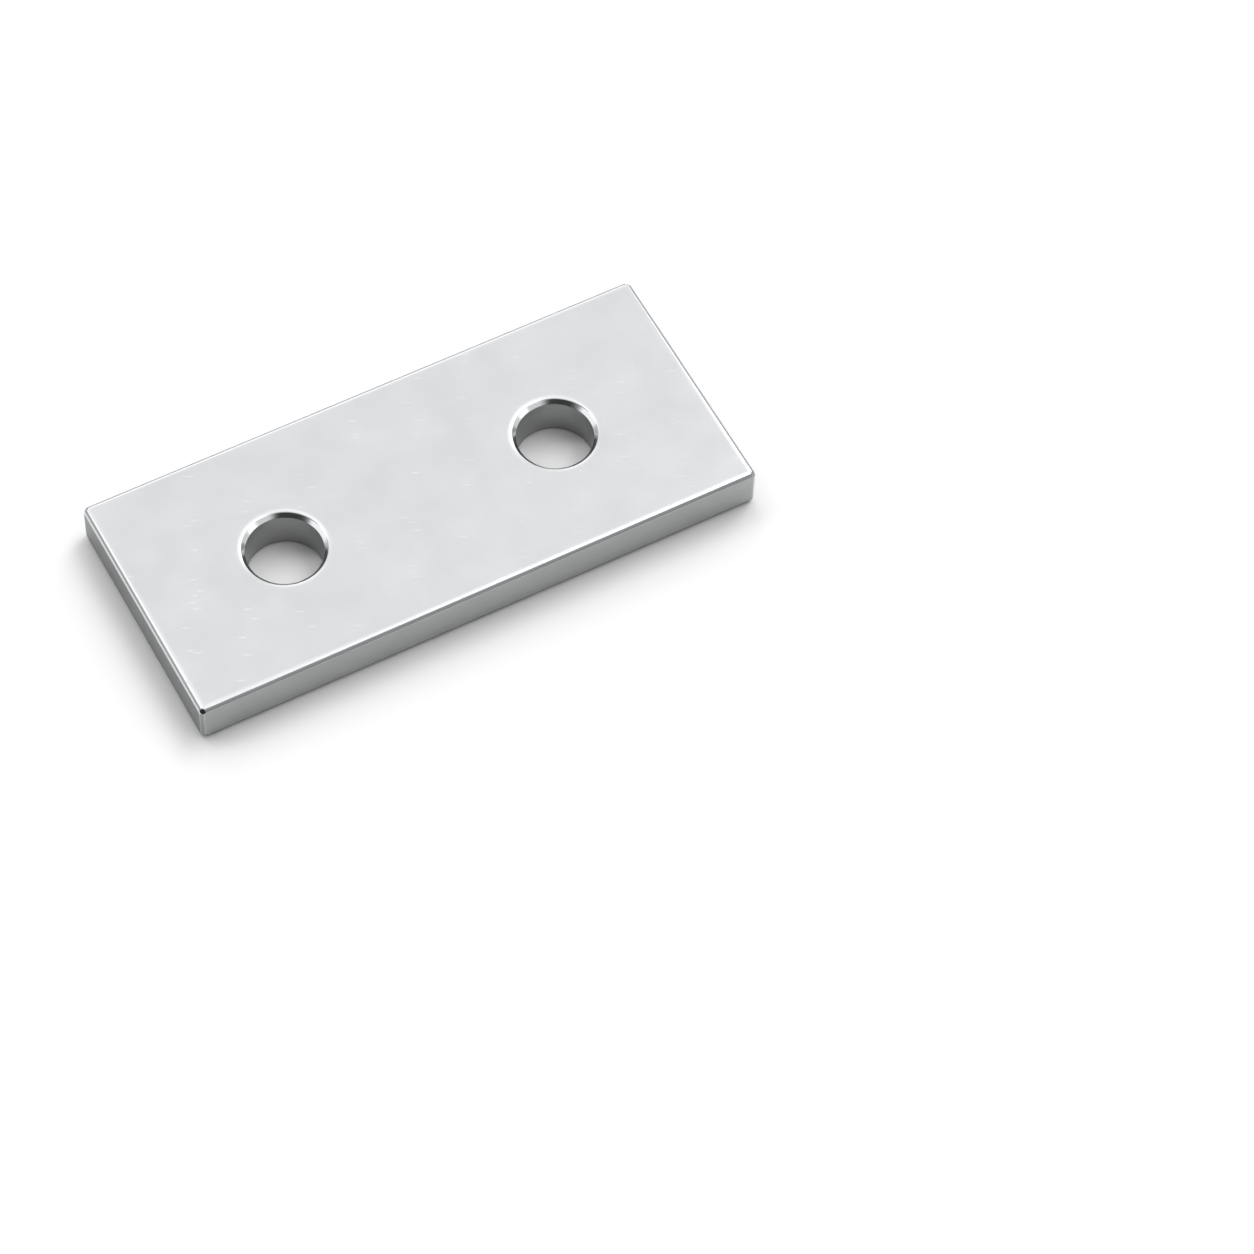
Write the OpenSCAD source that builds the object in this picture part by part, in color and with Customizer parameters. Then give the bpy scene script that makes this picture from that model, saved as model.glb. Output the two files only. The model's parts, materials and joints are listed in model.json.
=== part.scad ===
// Two-hole connector plate, sawn and drilled from flat aluminium bar.
// It lies on its underside: X runs along the plate, Y across it, Z up.
// The origin is the centre of the underside, midway between the two holes.

/* [Plate] */
// Length of the plate, along the line through both holes
plate_length = 102; // [74:1:180]
// Width of the plate, across the line through both holes
plate_width = 45; // [30:1:80]
// Thickness of the bar
plate_thickness = 8; // [4:0.5:20]

/* [Bolt holes] */
// Diameter of each hole, fine clearance for an M12 bolt
hole_diameter = 13; // [5:0.5:28]
// Distance between the centres of the two holes
hole_pitch = 50; // [24:1:80]
// Leg of the 45 degree countersink round the upper mouth of each hole
hole_chamfer = 0.8; // [0.2:0.1:1.5]
// Leg of the finer 45 degree chamfer round the lower mouth of each hole
hole_deburr = 0.3; // [0.1:0.1:1.5]

/* [Broken edges] */
// Leg of the 45 degree chamfer round the top and the bottom face
face_chamfer = 0.6; // [0.3:0.1:1.5]
// Leg of the 45 degree chamfer down each upright corner
corner_chamfer = 0.6; // [0.2:0.1:2]
// How far the small facet on each corner bites past the chamfers that it joins
corner_bite = 0.25; // [0.05:0.05:0.5]

/* [Hidden] */
// Sides of each drawn circle
$fn = 96;
// How far a cutter runs past the surface that it cuts
overshoot = 1;
// Climb of a corner facet's own direction, at the same angle to all three faces
facet_climb = atan(1 / sqrt(2));
// Depth of a corner facet below the sharp corner that it takes away
facet_depth = (face_chamfer + max(face_chamfer, corner_chamfer) + corner_bite) / sqrt(3);
// Side of the block that cuts a corner facet
facet_block = 6 * facet_depth;

// Rectangle about the origin with its four corners cut at 45 degrees
module chamfered_rectangle(length, width, leg) {
    x = length / 2;
    y = width / 2;
    polygon([
        [x, y - leg], [x - leg, y], [leg - x, y], [-x, y - leg],
        [-x, leg - y], [leg - x, -y], [x - leg, -y], [x, leg - y]
    ]);
}

// Plan of the plate drawn up through its thickness, with its upright corners cut
module plan_prism() {
    linear_extrude(height = plate_thickness, center = true)
        chamfered_rectangle(plate_length, plate_width, corner_chamfer);
}

// Section of the plate drawn along its length, which cuts the long edges
module long_prism() {
    rotate([90, 0, 90])
        linear_extrude(height = plate_length, center = true)
            chamfered_rectangle(plate_width, plate_thickness, face_chamfer);
}

// Section of the plate drawn across its width, which cuts the end edges
module cross_prism() {
    rotate([90, 0, 0])
        linear_extrude(height = plate_width, center = true)
            chamfered_rectangle(plate_length, plate_thickness, face_chamfer);
}

// Block that cuts the small facet where three chamfers meet, at the first corner
module corner_cutter() {
    translate([plate_length / 2, plate_width / 2, plate_thickness / 2])
        rotate([0, -facet_climb, 45])
            translate([facet_block / 2 - facet_depth, 0, 0])
                cube(facet_block, center = true);
}

// The bar cut to length, with every outer edge broken
module blank() {
    difference() {
        intersection() {
            plan_prism();
            long_prism();
            cross_prism();
        }
        for (mx = [0, 1], my = [0, 1], mz = [0, 1])
            mirror([mx, 0, 0]) mirror([0, my, 0]) mirror([0, 0, mz])
                corner_cutter();
    }
}

// Drill, countersink and lower chamfer of one hole, as one turned cutter
module hole_cutter() {
    bore = hole_diameter / 2;
    face = plate_thickness / 2;
    reach = face + overshoot;
    upper_flare = bore + hole_chamfer + overshoot;
    lower_flare = bore + hole_deburr + overshoot;
    rotate_extrude()
        polygon([
            [0, -reach], [lower_flare, -reach], [bore, hole_deburr - face],
            [bore, face - hole_chamfer], [upper_flare, reach], [0, reach]
        ]);
}

// The finished plate
module connector_plate() {
    color("silver")
        translate([0, 0, plate_thickness / 2])
            difference() {
                blank();
                for (side = [-1, 1])
                    translate([side * hole_pitch / 2, 0, 0])
                        hole_cutter();
            }
}

connector_plate();
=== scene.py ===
"""Dresses the connector plate: a flat aluminium bar with two bolt holes, clear anodised.

The plate is one piece. It is cut here from a block as in a workshop: squared to size, chamfered
along every edge by straight cuts, touched off at its eight corners, then bored and countersunk
with one turned cutter for each hole. Every surface gets the finish that its tool leaves, and
several also get painted light: their colour is made lighter or darker to stand for highlight
and shade.
"""
import itertools
import json
import logging
import math
from contextlib import contextmanager
from dataclasses import dataclass
from enum import Enum
from typing import Iterator, Sequence

import bmesh
import bpy
from mathutils import Matrix, Vector


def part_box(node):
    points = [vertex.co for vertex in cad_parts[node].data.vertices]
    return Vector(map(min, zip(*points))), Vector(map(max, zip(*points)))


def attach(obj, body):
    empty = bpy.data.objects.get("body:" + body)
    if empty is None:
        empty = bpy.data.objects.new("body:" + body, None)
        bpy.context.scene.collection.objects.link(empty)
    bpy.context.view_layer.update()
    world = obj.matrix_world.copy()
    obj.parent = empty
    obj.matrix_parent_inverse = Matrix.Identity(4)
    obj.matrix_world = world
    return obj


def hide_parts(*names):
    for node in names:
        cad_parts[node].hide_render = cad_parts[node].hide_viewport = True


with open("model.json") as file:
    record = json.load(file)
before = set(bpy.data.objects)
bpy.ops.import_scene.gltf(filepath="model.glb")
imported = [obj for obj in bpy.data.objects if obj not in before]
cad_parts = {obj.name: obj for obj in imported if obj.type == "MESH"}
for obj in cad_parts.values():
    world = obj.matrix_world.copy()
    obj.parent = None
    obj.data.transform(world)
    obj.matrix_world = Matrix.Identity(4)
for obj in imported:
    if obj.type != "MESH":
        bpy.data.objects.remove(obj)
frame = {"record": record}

LOG = logging.getLogger("connector_plate")

# One millimetre in the frame's metres
MM = 0.001
# CAD node that the dressed plate stands for, and the body that carries it
PLATE_NODE = "connector_plate"
PLATE_BODY = "root"


class Region(Enum):
    """Surfaces of the plate, by the tool that made them and by the painted highlight or shade in their
    colour.
    """

    FACE = "brushed_face"
    # Side: coloured a little darker than the face as painted shade
    SIDE = "drawn_side_painted_shade"
    # End and chamfer: their colour is darkened as painted shade
    END = "sawn_end_painted_shade"
    CHAMFER = "cut_chamfer_painted_shade"
    # Edges between a chamfer and a side or an end: coloured lighter than both as a painted highlight
    SIDE_EDGE = "side_edge_painted_highlight"
    END_EDGE = "end_edge_painted_highlight"
    # Lower edges: coloured dark grey as painted shade where the plate meets the floor
    FOOT = "foot_painted_shade"
    # Bore: coloured darker as painted shade in the hole
    BORE = "reamed_bore_painted_shade"
    MOUTH = "turned_mouth"


def srgb(code: str) -> tuple[float, float, float, float]:
    """Turns an sRGB colour into a linear one.

    Args:
        code: colour as six hex digits after a hash sign.

    Returns:
        Linear red, green and blue, and an alpha of one.
    """
    channels = [int(code[at : at + 2], 16) / 255 for at in (1, 3, 5)]
    linear = [c / 12.92 if c <= 0.04045 else ((c + 0.055) / 1.055) ** 2.4 for c in channels]
    return (linear[0], linear[1], linear[2], 1.0)


def heading(azimuth: float, elevation: float) -> Vector:
    """Gives a direction from its compass angles.

    Args:
        azimuth: degrees from +Y towards +X.
        elevation: degrees above the horizon.

    Returns:
        The direction, of length one.
    """
    turn = math.radians(azimuth)
    rise = math.radians(elevation)
    return Vector((math.sin(turn) * math.cos(rise), math.cos(turn) * math.cos(rise), math.sin(rise)))


def add_node(tree: bpy.types.NodeTree, kind: str, inputs: dict | None = None, **settings) -> bpy.types.Node:
    """Adds one node, with its settings and links.

    Args:
        tree: node tree that takes the node.
        kind: type of the node.
        inputs: for each input, by name or number, a value or the output that feeds it.
        settings: the node's own settings, such as its operation.

    Returns:
        The new node.
    """
    made = tree.nodes.new(kind)
    for name, value in settings.items():
        setattr(made, name, value)
    for name, value in (inputs or {}).items():
        if isinstance(value, bpy.types.NodeSocket):
            tree.links.new(value, made.inputs[name])
        else:
            made.inputs[name].default_value = value
    return made


# For each kind of value that a Mix node takes, the first of its two inputs and its output: they go
# by number, as all kinds share the same names
MIX_SOCKETS = {"FLOAT": (2, 0), "RGBA": (6, 2)}


def mix(tree: bpy.types.NodeTree, share: object, first: object, second: object,
        kind: str = "FLOAT") -> bpy.types.NodeSocket:
    """Mixes two numbers or two colours.

    Args:
        tree: node tree that takes the mix.
        share: share of the second one, a value or the output that feeds it.
        first: the one that a share of zero gives, likewise.
        second: the one that a share of one gives, likewise.
        kind: kind of value, one of those in MIX_SOCKETS.

    Returns:
        The output that carries the mix.
    """
    start, result = MIX_SOCKETS[kind]
    inputs = {"Factor": share, start: first, start + 1: second}
    return add_node(tree, "ShaderNodeMix", inputs, data_type=kind).outputs[result]


def select_only(piece: bpy.types.Object) -> None:
    """Selects one object and nothing else.

    Args:
        piece: object to select and make active.
    """
    bpy.ops.object.select_all(action="DESELECT")
    piece.select_set(True)
    bpy.context.view_layer.objects.active = piece


@contextmanager
def editing(piece: bpy.types.Object) -> Iterator[None]:
    """Holds an object in edit mode with its whole mesh selected.

    Args:
        piece: object to edit.
    """
    select_only(piece)
    bpy.ops.object.mode_set(mode="EDIT")
    bpy.ops.mesh.select_all(action="SELECT")
    yield
    bpy.ops.object.mode_set(mode="OBJECT")


# Octaves of the noise in the tool marks and in the clouds, and what each keeps of the one before
MARK_NOISE = {"Detail": 3.0, "Roughness": 0.6}
CLOUD_NOISE = {"Detail": 4.0, "Roughness": 0.55}
# Noise keeps to this middle part of its range, which is stretched to fill the whole
NOISE_SPAN = (0.35, 0.65)
# Scuffs of a handled face: length, width and depth of the cell round each, in millimetres, and
# how far the cells are turned from the plate's length
SCUFF_CELL = (9.0, 1.4, 1.0)
SCUFF_TURN = math.radians(-26)
# Half-size of a scuff in its cell, and share of the cells that hold one
SCUFF_REACH = 0.13
SCUFF_SHARE = 0.3


@dataclass(frozen=True)
class AnodisedFinish:
    """Clear anodised aluminium as one tool leaves it: satin metal under a thin oxide film.

    The tool marks are streaks of noise, long along the tool's travel and fine across it. Real
    marks are a few hundredths of a millimetre apart, which is under a pixel, so they are drawn
    as coarse as they need to show.
    """

    region: Region
    # Colour in the hollows and on the ridges of the tool marks
    dark: str
    light: str
    # Roughness on the ridges and in the hollows
    ridge_roughness: float
    hollow_roughness: float
    # Size of one tool mark along X, Y and Z, in millimetres
    mark: tuple[float, float, float]
    # Depth of the marks, in millimetres
    depth: float
    # Size of the soft clouds that uneven pressure leaves, in millimetres
    cloud: float = 9.0
    # Share of the clouds in the colour and the roughness, beside the marks
    cloudiness: float = 0.5
    # Depth of the short light scuffs that handling leaves, in millimetres
    scuff: float = 0.0
    # Share of the clear oxide film
    film: float = 0.15
    film_roughness: float = 0.25

    def relief(self, tree: bpy.types.NodeTree, place: bpy.types.NodeSocket,
               streaks: bpy.types.NodeSocket) -> bpy.types.NodeSocket:
        """Adds the relief of the surface: scuffs where it has them, and else its tool marks.

        Args:
            tree: tree of the material.
            place: Object coordinates.
            streaks: the tool marks.

        Returns:
            The normal of the surface.
        """
        if not self.scuff:
            marks = add_node(
                tree, "ShaderNodeBump", {"Height": streaks, "Distance": self.depth * MM}
            )
            return marks.outputs[0]
        # A cell holds one scuff or none, as the red of its own random colour tells
        cell_place = add_node(
            tree, "ShaderNodeMapping",
            {
                "Vector": place,
                "Rotation": (0.0, 0.0, SCUFF_TURN),
                "Scale": [size * MM for size in SCUFF_CELL],
            },
            vector_type="TEXTURE",
        )
        cells = add_node(
            tree, "ShaderNodeTexVoronoi",
            {"Vector": cell_place.outputs[0], "Scale": 1.0},
            voronoi_dimensions="2D",
        )
        hollow = add_node(
            tree, "ShaderNodeMapRange",
            {"Value": cells.outputs["Distance"], "From Max": SCUFF_REACH, "To Min": 1.0, "To Max": 0.0},
            interpolation_type="SMOOTHSTEP",
        )
        drawn = add_node(tree, "ShaderNodeSeparateColor", {"Color": cells.outputs["Color"]})
        held = add_node(
            tree, "ShaderNodeMath", {0: drawn.outputs[0], 1: 1.0 - SCUFF_SHARE}, operation="GREATER_THAN"
        )
        scuffs = add_node(
            tree, "ShaderNodeMath", {0: hollow.outputs[0], 1: held.outputs[0]}, operation="MULTIPLY"
        )
        scuffed = add_node(
            tree, "ShaderNodeBump",
            {"Height": scuffs.outputs[0], "Distance": self.scuff * MM},
            invert=True,
        )
        return scuffed.outputs[0]

    def build(self) -> bpy.types.Material:
        """Makes the material.

        Returns:
            The material, named after its region.
        """
        material = bpy.data.materials.new(f"anodised_aluminium_{self.region.value}")
        material.use_nodes = True
        tree = material.node_tree
        tree.nodes.clear()
        place = add_node(tree, "ShaderNodeTexCoord").outputs["Object"]
        per_metre = [1 / (size * MM) for size in self.mark]
        streak_place = add_node(tree, "ShaderNodeMapping", {"Vector": place, "Scale": per_metre})
        streaks = add_node(
            tree, "ShaderNodeTexNoise",
            {"Vector": streak_place.outputs[0], "Scale": 1.0, **MARK_NOISE},
        )
        clouds = add_node(
            tree, "ShaderNodeTexNoise",
            {"Vector": place, "Scale": 1 / (self.cloud * MM), **CLOUD_NOISE},
        )
        tone = mix(tree, self.cloudiness, streaks.outputs[0], clouds.outputs[0])
        full = add_node(
            tree, "ShaderNodeMapRange",
            {"Value": tone, "From Min": NOISE_SPAN[0], "From Max": NOISE_SPAN[1]},
        )
        colour = mix(tree, full.outputs[0], srgb(self.dark), srgb(self.light), kind="RGBA")
        roughness = add_node(
            tree, "ShaderNodeMapRange",
            {"Value": full.outputs[0], "To Min": self.hollow_roughness, "To Max": self.ridge_roughness},
        )
        metal = add_node(
            tree, "ShaderNodeBsdfPrincipled",
            {
                "Base Color": colour,
                "Roughness": roughness.outputs[0],
                "Normal": self.relief(tree, place, streaks.outputs[0]),
                "Metallic": 1.0,
                "Coat Weight": self.film,
                "Coat Roughness": self.film_roughness,
            },
        )
        add_node(tree, "ShaderNodeOutputMaterial", {"Surface": metal.outputs[0]})
        return material


# Face: linished lengthwise on a belt and a little handled, which leaves a soft satin sheen, faint
# clouds that are rougher where they are lighter, and a few light scuffs. Side: the drawn skin of
# the bar, linished lengthwise, coloured a little darker than the face as painted shade. End: sawn,
# then linished across, coloured darker still as painted shade. Chamfer: milled bright, its colour
# darkened as painted shade. Edges: where a chamfer meets a side or an end, coloured lighter than
# both as a painted highlight. Foot: the lower edges, dull, and coloured dark grey as painted shade
# where the plate meets the floor. Bore: reamed, with faint rings, coloured darker as painted shade
# in the hole. Mouth: turned bright by the countersink.
FINISHES = (
    AnodisedFinish(
        Region.FACE, "#b4b5b7", "#b7b8ba", 0.315, 0.295, (40.0, 0.3, 5.0), 0.0,
        cloud=8.0, cloudiness=0.85, scuff=0.016,
    ),
    # Painted shade: the side is coloured a little darker than the face
    AnodisedFinish(Region.SIDE, "#a6a8a8", "#acaeae", 0.42, 0.50, (20.0, 5.0, 0.3), 0.0006),
    # Painted shade: the end is coloured darker than the side
    AnodisedFinish(Region.END, "#828484", "#888a8a", 0.44, 0.52, (5.0, 8.0, 0.3), 0.0008),
    # Painted shade: the chamfer is coloured darker, though it is milled bright
    AnodisedFinish(Region.CHAMFER, "#8f9192", "#959798", 0.14, 0.20, (8.0, 8.0, 0.4), 0.0003),
    # Painted highlight: the edges are coloured lighter than the chamfer, side and end beside them
    AnodisedFinish(Region.SIDE_EDGE, "#a9abab", "#afb1b1", 0.30, 0.36, (8.0, 8.0, 0.4), 0.0003),
    AnodisedFinish(Region.END_EDGE, "#d0d2d2", "#d6d8d8", 0.20, 0.26, (8.0, 8.0, 0.4), 0.0003),
    # Painted shade: the lower edges are coloured dark grey where the plate meets the floor
    AnodisedFinish(Region.FOOT, "#6c6e6e", "#747676", 0.46, 0.54, (6.0, 6.0, 0.6), 0.0006),
    # Painted shade: the bore is coloured darker, as the hole is shaded
    AnodisedFinish(Region.BORE, "#9c9d9d", "#a2a3a3", 0.40, 0.46, (5.0, 5.0, 0.25), 0.0010),
    AnodisedFinish(Region.MOUTH, "#dcdedf", "#e1e3e4", 0.10, 0.15, (5.0, 5.0, 0.25), 0.0003),
)


# Up to half of the turn to a 45 degree chamfer, a rounding belongs to the face or bore beside it
HALF_TURN = math.radians(45 / 2)
# The same at a corner of the face, where two rolled rims cross and tilt it further
CORNER_TURN = math.radians(26)
# Least turn that tells a rounding from a flat surface
LEAST_TURN = math.radians(4)
# Steepest tilt that still belongs to a chamfer, a little past its own 45 degrees
CHAMFER_TILT = math.radians(49)


@dataclass
class ConnectorPlate:
    """The plate itself, cut from a block in millimetres and then brought to metres."""

    length: float
    width: float
    thickness: float
    hole_radius: float
    hole_pitch: float
    # Legs of the 45 degree chamfers: round both faces, down the upright corners, at the upper
    # mouths of the holes and at their lower mouths
    face_chamfer: float = 0.6
    corner_chamfer: float = 0.6
    hole_chamfer: float = 0.8
    hole_deburr: float = 0.3
    # How far the small facet on each corner bites past the chamfers that it joins
    corner_bite: float = 0.25
    # Bands where the belt rolls over the rim of a face, along the sides, along the ends and round
    # the holes: where each one starts, ahead of the chamfer, and its tilt
    side_roll: Sequence[tuple[float, float]] = ((0.8, math.radians(5)), (0.3, math.radians(13)))
    end_roll: Sequence[tuple[float, float]] = ((0.8, math.radians(5)), (0.35, math.radians(11)))
    mouth_roll: Sequence[tuple[float, float]] = ((0.8, math.radians(5)), (0.22, math.radians(13)))
    # Roundings that wear and polish leave where a chamfer meets a face: along the sides, along
    # the ends and round the holes
    side_rim_round: float = 0.16
    end_rim_round: float = 0.18
    mouth_round: float = 0.08
    # The same where an upper chamfer meets a side or an end, and a lower one either of them
    side_round: float = 0.12
    end_round: float = 0.26
    foot_round: float = 0.3
    # The same down the upright corners, and at the upper and the lower end of a bore
    corner_round: float = 0.15
    bore_round: float = 0.07
    lower_bore_round: float = 0.2
    # Steps of each rounding
    round_steps: int = 4
    # Least turn between two faces that makes a rounded edge of their seam
    sharp: float = math.radians(28)
    # Sides of a hole, and how far its cutter runs past the faces
    hole_sides: int = 192
    overshoot: float = 0.05
    # Distance from a cutting plane within which a corner lies on it
    cut_slack: float = 1e-5
    # Distance under which two corners are one
    weld: float = 1e-4

    @classmethod
    def from_frame(cls, node: str, record: dict) -> "ConnectorPlate":
        """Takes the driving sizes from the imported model.

        Args:
            node: name of the CAD node.
            record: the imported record, whose mounts give the holes.

        Returns:
            A plate of the same size.
        """
        low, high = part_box(node)
        size = (high - low) / MM
        holes = [mount for mount in record["mounts"] if mount["kind"] == "bore"]
        places = [hole["pos_m"][0] / MM for hole in holes]
        return cls(
            length=size.x,
            width=size.y,
            thickness=size.z,
            hole_radius=holes[0]["dims"]["r_mm"],
            hole_pitch=max(places) - min(places),
        )

    def block(self) -> bpy.types.Object:
        """Squares the block that the plate is cut from.

        Returns:
            A block that stands on the floor, about the origin.
        """
        bpy.ops.object.select_all(action="DESELECT")
        bpy.ops.mesh.primitive_cube_add(size=1.0, location=(0, 0, self.thickness / 2))
        block = bpy.context.object
        block.name = block.data.name = "anodised_plate"
        block.scale = (self.length, self.width, self.thickness)
        bpy.ops.object.transform_apply(location=True, rotation=True, scale=True)
        return block

    def cut(self, point: Vector, outward: Vector) -> None:
        """Cuts away all that lies beyond a plane and closes the cut.

        Args:
            point: a point on the plane.
            outward: the plane's normal, towards what is cut away.
        """
        bpy.ops.mesh.select_all(action="SELECT")
        bpy.ops.mesh.bisect(
            plane_co=point, plane_no=outward, use_fill=True, clear_outer=True,
            threshold=self.cut_slack,
        )

    def facet_reach(self) -> float:
        """Gives how far a corner facet reaches along the three edges together, in millimetres."""
        return self.face_chamfer + max(self.face_chamfer, self.corner_chamfer) + self.corner_bite

    def half_size(self) -> Vector:
        """Gives half of the length, the width and the thickness."""
        return Vector((self.length, self.width, self.thickness)) / 2

    def cut_back(self, sides: Sequence[int], depth: float) -> None:
        """Cuts an edge or a corner of the block off, at the same angle to the faces that meet there.

        Args:
            sides: for X, Y and Z, the end that it is at, or zero along the edge itself.
            depth: depth of the cut below the sharp edge or corner.
        """
        outward = Vector(sides).normalized()
        half = self.half_size()
        tip = Vector((0, 0, half.z)) + half * Vector(sides)
        self.cut(tip - outward * depth, outward)

    def break_edges(self, block: bpy.types.Object) -> None:
        """Chamfers the twelve edges and touches off the eight corners.

        Args:
            block: the squared block.
        """
        with editing(block):
            for sides in itertools.product((-1, 0, 1), repeat=3):
                if sum(map(abs, sides)) == 2:
                    leg = self.face_chamfer if sides[2] else self.corner_chamfer
                    self.cut_back(sides, leg / math.sqrt(2))
            for sides in itertools.product((-1, 1), repeat=3):
                self.cut_back(sides, self.facet_reach() / math.sqrt(3))

    @staticmethod
    def roll_stations(bands: Sequence[tuple[float, float]]) -> list[tuple[float, float, float]]:
        """Follows a rolled rim outwards.

        Args:
            bands: where each band starts ahead of the chamfer, and its tilt.

        Returns:
            For each band, its start, its depth below the face there and its tilt.
        """
        stations = []
        depth = 0.0
        for (start, tilt), (after, _) in itertools.pairwise([*bands, (0.0, 0.0)]):
            stations.append((start, depth, tilt))
            depth += (start - after) * math.tan(tilt)
        return stations

    def roll_faces(self, block: bpy.types.Object) -> None:
        """Tilts the rim of both faces a little, where the linishing belt rolls over the edge.

        Args:
            block: the chamfered block.
        """
        half = self.half_size()
        with editing(block):
            for face, side in itertools.product((-1, 1), repeat=2):
                for across, bands in (
                    (Vector((side, 0, 0)), self.end_roll),
                    (Vector((0, side, 0)), self.side_roll),
                ):
                    for start, depth, tilt in self.roll_stations(bands):
                        outward = across * math.sin(tilt)
                        outward.z = face * math.cos(tilt)
                        rim = across * (abs(across.dot(half)) - self.face_chamfer - start)
                        rim.z = half.z + face * (half.z - depth)
                        self.cut(rim, outward)

    def mouth_stations(self, leg: float) -> list[tuple[float, float]]:
        """Gives the outline of a hole's mouth, from past the face down to the bore.

        Args:
            leg: leg of the chamfer round the mouth.

        Returns:
            Depth below the face and radius there, at each corner of the outline.
        """
        mouth = self.hole_radius + leg
        bands = self.roll_stations(self.mouth_roll)
        first, _, first_tilt = bands[0]
        last, depth, last_tilt = bands[-1]
        # Depth at which the last roll band runs into the chamfer
        meeting = (depth + last * math.tan(last_tilt)) / (1 - math.tan(last_tilt))
        return [
            (-self.overshoot, mouth + first + self.overshoot / math.tan(first_tilt)),
            *((below, mouth + start) for start, below, _ in bands[1:]),
            (meeting, mouth - meeting),
            (leg, self.hole_radius),
        ]

    def hole_cutter(self, x: float) -> bpy.types.Object:
        """Turns the drill and both countersinks of one hole as one cutter.

        Args:
            x: place of the hole along the plate.

        Returns:
            The cutter, upright on the hole's axis.
        """
        lower = self.mouth_stations(self.hole_deburr)
        upper = self.mouth_stations(self.hole_chamfer)
        stations = [*lower, *((self.thickness - depth, wide) for depth, wide in reversed(upper))]
        height, radius = stations[0]
        bpy.ops.object.select_all(action="DESELECT")
        bpy.ops.mesh.primitive_circle_add(
            vertices=self.hole_sides, radius=radius, fill_type="NGON", location=(x, 0, height)
        )
        cutter = bpy.context.object
        with editing(cutter):
            for next_height, next_radius in stations[1:]:
                bpy.ops.mesh.extrude_region_move(
                    TRANSFORM_OT_translate={"value": (0, 0, next_height - height)}
                )
                ratio = next_radius / radius
                bpy.ops.transform.resize(
                    value=(ratio, ratio, 1), center_override=(x, 0, next_height)
                )
                height, radius = next_height, next_radius
            bpy.ops.mesh.select_all(action="SELECT")
            bpy.ops.mesh.normals_make_consistent(inside=False)
        return cutter

    def drill(self, block: bpy.types.Object) -> None:
        """Bores and countersinks both holes.

        Args:
            block: the chamfered block.
        """
        for side in (-1, 1):
            cutter = self.hole_cutter(side * self.hole_pitch / 2)
            hole = block.modifiers.new("hole", "BOOLEAN")
            hole.operation = "DIFFERENCE"
            hole.solver = "EXACT"
            hole.object = cutter
            select_only(block)
            bpy.ops.object.modifier_apply(modifier=hole.name)
            bpy.data.objects.remove(cutter)

    def soften(self, block: bpy.types.Object) -> None:
        """Rounds the edges of every chamfer, as tumbling and anodising leave them.

        Args:
            block: the drilled block.
        """
        with editing(block):
            bpy.ops.mesh.remove_doubles(threshold=self.weld)
            bpy.ops.mesh.normals_make_consistent(inside=False)
            self.weigh_edges(block)
        bpy.ops.object.shade_smooth()
        rounding = block.modifiers.new("rounding", "BEVEL")
        rounding.width = self.foot_round
        rounding.segments = self.round_steps
        rounding.limit_method = "WEIGHT"
        rounding.use_clamp_overlap = False
        bpy.ops.object.modifier_apply(modifier=rounding.name)
        # The wide flat surfaces keep their own normals, so that only the roundings shade round
        shading = block.modifiers.new("shading", "WEIGHTED_NORMAL")
        shading.mode = "FACE_AREA"
        bpy.ops.object.modifier_apply(modifier=shading.name)

    def weigh_edges(self, block: bpy.types.Object) -> None:
        """Notes on each sharp edge its share of the widest rounding.

        Args:
            block: the drilled block, in edit mode.
        """
        mesh = bmesh.from_edit_mesh(block.data)
        share = mesh.edges.layers.float.new("bevel_weight_edge")
        for edge in mesh.edges:
            if edge.calc_face_angle() < self.sharp:
                continue
            middle = (edge.verts[0].co + edge.verts[1].co) / 2
            normals = [face.normal for face in edge.link_faces]
            edge[share] = self.rounding_at(middle, normals) / self.foot_round
        bmesh.update_edit_mesh(block.data)

    def rounding_at(self, middle: Vector, normals: Sequence[Vector]) -> float:
        """Tells how far the rounding of a sharp edge reaches.

        Args:
            middle: the edge's middle.
            normals: normals of the two faces that meet there.

        Returns:
            The reach on each face, in millimetres.
        """
        from_wall = math.hypot(abs(middle.x) - self.hole_pitch / 2, middle.y) - self.hole_radius
        upper = middle.z > self.thickness / 2
        if abs(from_wall) < self.bore_round:
            return self.bore_round if upper else self.lower_bore_round
        rises = [abs(normal.z) for normal in normals]
        if max(rises) > math.cos(self.sharp):
            if from_wall < self.hole_chamfer:
                return self.mouth_round
            across = max(abs(normal.y) for normal in normals)
            return self.side_rim_round if across > math.sin(self.sharp) else self.end_rim_round
        if max(rises) < math.sin(self.sharp):
            return self.corner_round
        at_end = max(abs(normal.x) for normal in normals) > math.cos(self.sharp)
        at_side = max(abs(normal.y) for normal in normals) > math.cos(self.sharp)
        if (at_end or at_side) and not upper:
            return self.foot_round
        return self.end_round if at_end else self.side_round

    def region_of(self, centre: Vector, normal: Vector) -> Region:
        """Tells which tool made a face, and which painted highlight or shade its colour carries.

        Args:
            centre: the face's centre, in millimetres.
            normal: the face's normal.

        Returns:
            The region that the face belongs to.
        """
        turned = math.sin(LEAST_TURN)
        from_axis = math.hypot(abs(centre.x) - self.hole_pitch / 2, centre.y)
        from_corner = (self.length + self.width) / 2 - abs(centre.x) - abs(centre.y)
        at_corner = from_corner < self.facet_reach() + self.side_rim_round * math.sqrt(2)
        if abs(normal.z) > math.cos(CORNER_TURN if at_corner else HALF_TURN):
            return Region.FACE
        upright = abs(normal.z) < turned
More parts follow.
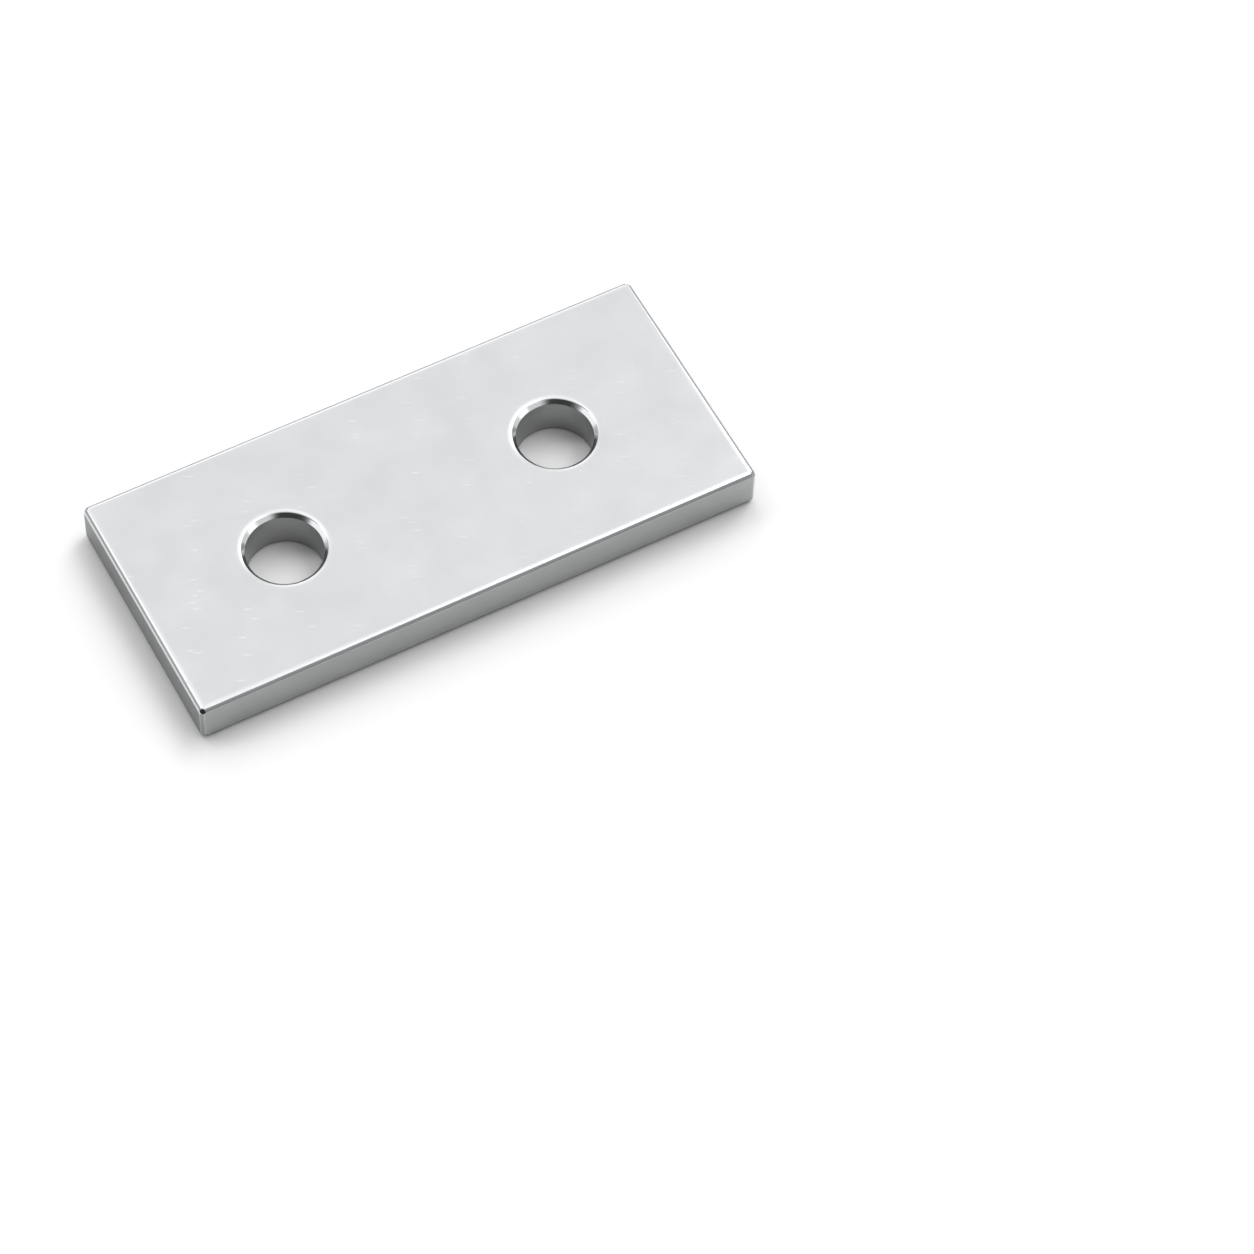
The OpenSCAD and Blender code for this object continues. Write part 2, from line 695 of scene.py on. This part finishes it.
        # The lower edges take the foot's painted shade
        if centre.z < self.thickness / 2 and not upright:
            return Region.FOOT
        if from_axis < self.hole_radius + self.hole_chamfer:
            return Region.BORE if abs(normal.z) < math.sin(HALF_TURN) else Region.MOUTH
        _, middle, largest = sorted(map(abs, normal))
        facing_end = abs(normal.x) > abs(normal.y)
        if middle < turned:
            return Region.END if facing_end else Region.SIDE
        if largest - middle < turned or abs(normal.z) > math.cos(CHAMFER_TILT):
            return Region.CHAMFER
        return Region.END_EDGE if facing_end and not upright else Region.SIDE_EDGE

    def dress(self, block: bpy.types.Object) -> None:
        """Gives each face its finish.

        Args:
            block: the finished plate, still in millimetres.
        """
        slots = {}
        for finish in FINISHES:
            slots[finish.region] = len(block.data.materials)
            block.data.materials.append(finish.build())
        for face in block.data.polygons:
            face.material_index = slots[self.region_of(face.center, face.normal)]

    def build(self) -> bpy.types.Object:
        """Makes the plate from block to finish.

        Returns:
            The dressed plate, in metres.
        """
        block = self.block()
        self.break_edges(block)
        self.roll_faces(block)
        self.drill(block)
        self.soften(block)
        self.dress(block)
        select_only(block)
        block.scale = (MM, MM, MM)
        bpy.ops.object.transform_apply(location=True, rotation=True, scale=True)
        return block


@dataclass(frozen=True)
class DomePatch:
    """One soft-edged part of the studio's light dome."""

    azimuth: float
    elevation: float
    # Half-angles at which the patch is full and at which it ends, in degrees
    full: float
    end: float
    radiance: float


@dataclass(frozen=True)
class StudioDome:
    """Soft light from a white dome with brighter and darker parts."""

    # Light of the dome itself, outside its patches
    radiance: float
    patches: Sequence[DomePatch]

    def build(self) -> None:
        """Lights the world with the dome."""
        world = bpy.data.worlds.new("studio_dome")
        bpy.context.scene.world = world
        world.use_nodes = True
        tree = world.node_tree
        tree.nodes.clear()
        towards = add_node(tree, "ShaderNodeTexCoord").outputs["Generated"]
        radiance: float | bpy.types.NodeSocket = self.radiance
        for patch in self.patches:
            nearness = add_node(
                tree, "ShaderNodeVectorMath",
                {0: towards, 1: heading(patch.azimuth, patch.elevation)},
                operation="DOT_PRODUCT",
            )
            share = add_node(
                tree, "ShaderNodeMapRange",
                {
                    "Value": nearness.outputs["Value"],
                    "From Min": math.cos(math.radians(patch.end)),
                    "From Max": math.cos(math.radians(patch.full)),
                },
                interpolation_type="SMOOTHSTEP",
            )
            radiance = mix(tree, share.outputs[0], radiance, patch.radiance)
        white = (1.0, 1.0, 1.0, 1.0)
        light = add_node(tree, "ShaderNodeBackground", {"Color": white, "Strength": radiance})
        add_node(tree, "ShaderNodeOutputWorld", {"Surface": light.outputs[0]})


@dataclass(frozen=True)
class StudioFloor:
    """A plain white matt board that the plate lies on."""

    side: float = 4.0
    # Gap under the plate that keeps the two surfaces apart, in metres
    gap: float = 0.00004
    colour: str = "#f3f3f3"
    roughness: float = 0.9

    def build(self) -> bpy.types.Object:
        """Makes the floor.

        Returns:
            The floor, which is not part of the object.
        """
        bpy.ops.object.select_all(action="DESELECT")
        bpy.ops.mesh.primitive_plane_add(size=self.side, location=(0, 0, -self.gap))
        floor = bpy.context.object
        floor.name = floor.data.name = "studio_floor"
        board = bpy.data.materials.new("matt_white_board")
        board.use_nodes = True
        paint = board.node_tree.nodes["Principled BSDF"]
        paint.inputs["Base Color"].default_value = srgb(self.colour)
        paint.inputs["Roughness"].default_value = self.roughness
        paint.inputs["Specular IOR Level"].default_value = 0.0
        floor.data.materials.append(board)
        return floor


@dataclass(frozen=True)
class StudioCamera:
    """The camera, at the angle from which the plate was photographed."""

    # Point of the floor at the middle of the picture, in millimetres
    aim: tuple[float, float, float] = (20.1, -34.8, 0.0)
    azimuth: float = 30.48
    elevation: float = 57.02
    roll: float = 2.64
    # Distance to the aim in millimetres, and focal length for a square sensor of this side
    distance: float = 833.9
    lens: float = 145.92
    sensor: float = 36.0
    # Nearest distance that it sees, in metres
    nearest: float = 0.01

    def build(self) -> bpy.types.Object:
        """Makes the camera.

        Returns:
            The scene's camera.
        """
        forward = -heading(self.azimuth + 180, self.elevation)
        level_right = forward.cross(Vector((0, 0, 1))).normalized()
        level_up = level_right.cross(forward)
        tilt = math.radians(self.roll)
        right = level_right * math.cos(tilt) + level_up * math.sin(tilt)
        up = right.cross(forward)
        turn = Matrix((right, up, -forward)).transposed()
        lens = bpy.data.cameras.new("studio_camera")
        lens.lens = self.lens
        lens.sensor_fit = "HORIZONTAL"
        lens.sensor_width = self.sensor
        lens.clip_start = self.nearest
        camera = bpy.data.objects.new("studio_camera", lens)
        camera.matrix_world = Matrix.Translation(
            (Vector(self.aim) - forward * self.distance) * MM
        ) @ turn.to_4x4()
        bpy.context.scene.collection.objects.link(camera)
        bpy.context.scene.camera = camera
        return camera


# A white room with two softboxes and a lit back wall. The top face mirrors the plain dome between
# the boxes. The camera's side of the room is dim overhead and dark low down.
STUDIO = StudioDome(
    radiance=1.19,
    patches=(
        # Softbox to the right
        DomePatch(azimuth=103, elevation=35, full=18, end=45, radiance=17.0),
        # Softbox to the left, higher up
        DomePatch(azimuth=304, elevation=64, full=13, end=30, radiance=4.0),
        # Lit wall at the back, and its bright right end
        DomePatch(azimuth=14, elevation=31, full=11, end=19, radiance=2.4),
        DomePatch(azimuth=59, elevation=35, full=6, end=14, radiance=2.5),
        # Dim corner at its left end
        DomePatch(azimuth=337, elevation=18, full=18, end=26, radiance=0.56),
        # Unlit side of the room, up to the right softbox
        DomePatch(azimuth=119, elevation=19, full=39, end=61, radiance=0.81),
        # White board that stands low at the front right
        DomePatch(azimuth=129, elevation=20, full=8, end=16, radiance=1.4),
        # Dim ceiling over the camera, and the dark room behind it
        DomePatch(azimuth=242, elevation=59, full=33, end=41, radiance=0.44),
        DomePatch(azimuth=217, elevation=-4, full=43, end=61, radiance=0.05),
        # Lamp in the ceiling
        DomePatch(azimuth=11, elevation=74, full=2, end=10, radiance=2.8),
        # Dark foot of the right softbox
        DomePatch(azimuth=88, elevation=1, full=5, end=13, radiance=0.32),
    ),
)


def set_picture() -> None:
    """Keeps the picture's white neutral and its tones as lit."""
    view = bpy.context.scene.view_settings
    view.view_transform = "Standard"
    view.look = "None"
    view.exposure = 0.0
    view.gamma = 1.0


def main() -> None:
    """Builds the plate and the studio, and reports each piece."""
    logging.basicConfig(level=logging.INFO, format="%(name)s: %(message)s")
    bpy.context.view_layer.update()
    plate = ConnectorPlate.from_frame(PLATE_NODE, frame["record"]).build()
    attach(plate, PLATE_BODY)
    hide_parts(PLATE_NODE)
    LOG.info("%s: %d faces, %d finishes", plate.name, len(plate.data.polygons), len(FINISHES))
    board = StudioFloor()
    floor = board.build()
    LOG.info("%s: %.1f m across", floor.name, board.side)
    STUDIO.build()
    LOG.info("studio: %d bright and dark patches", len(STUDIO.patches))
    camera = StudioCamera().build()
    LOG.info("%s: %.0f mm lens", camera.name, camera.data.lens)
    set_picture()


if __name__ == "__main__":
    main()
